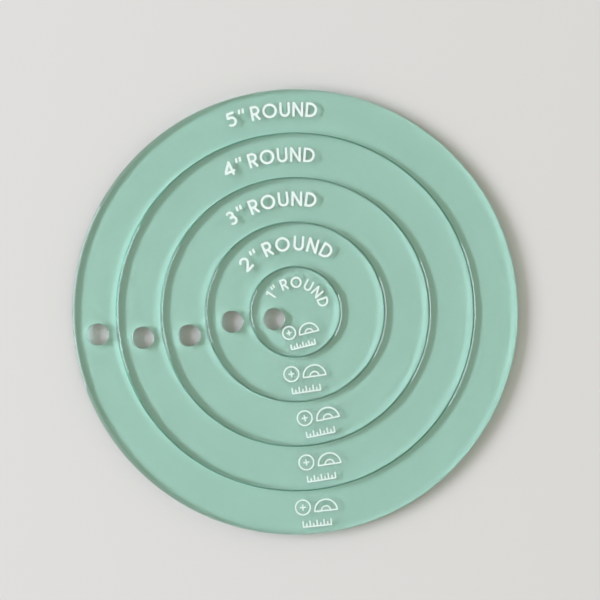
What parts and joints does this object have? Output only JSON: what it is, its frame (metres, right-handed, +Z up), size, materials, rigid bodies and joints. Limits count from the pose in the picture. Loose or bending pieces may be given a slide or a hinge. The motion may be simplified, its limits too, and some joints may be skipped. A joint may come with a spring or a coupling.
{
  "type": "circle template set",
  "caption": "Nested flat circle templates of clear green acrylic: concentric rings round a small disc, each a whole inch in diameter, with engraved size legends and hanging holes.",
  "frame": {"origin": "centre of the nested set on its underside", "axes": "+Z up out of the engraved faces; +Y towards the widest ring's size legend; its hanging hole is towards -X"},
  "size_m": [0.127, 0.127, 0.003],
  "materials": {
    "tinted_acrylic": "clear polished sheet, sharp glossy laser-cut edges, frosted white engraving"
  },
  "bodies": {
    "ring_5in": {"ring_5in": "tinted_acrylic"},
    "ring_4in": {"ring_4in": "tinted_acrylic"},
    "ring_3in": {"ring_3in": "tinted_acrylic"},
    "ring_2in": {"ring_2in": "tinted_acrylic"},
    "disc_1in": {"disc_1in": "tinted_acrylic"}
  },
  "joints": [
    {"name": "ring_4in_lift", "type": "slide", "parent": "ring_5in", "child": "ring_4in", "axis": [0, 0, 1], "range_m": [0, 0.01]},
    {"name": "ring_3in_lift", "type": "slide", "parent": "ring_5in", "child": "ring_3in", "axis": [0, 0, 1], "range_m": [0, 0.02]},
    {"name": "ring_2in_lift", "type": "slide", "parent": "ring_5in", "child": "ring_2in", "axis": [0, 0, 1], "range_m": [0, 0.03]},
    {"name": "disc_1in_lift", "type": "slide", "parent": "ring_5in", "child": "disc_1in", "axis": [0, 0, 1], "range_m": [0, 0.04]}
  ]
}
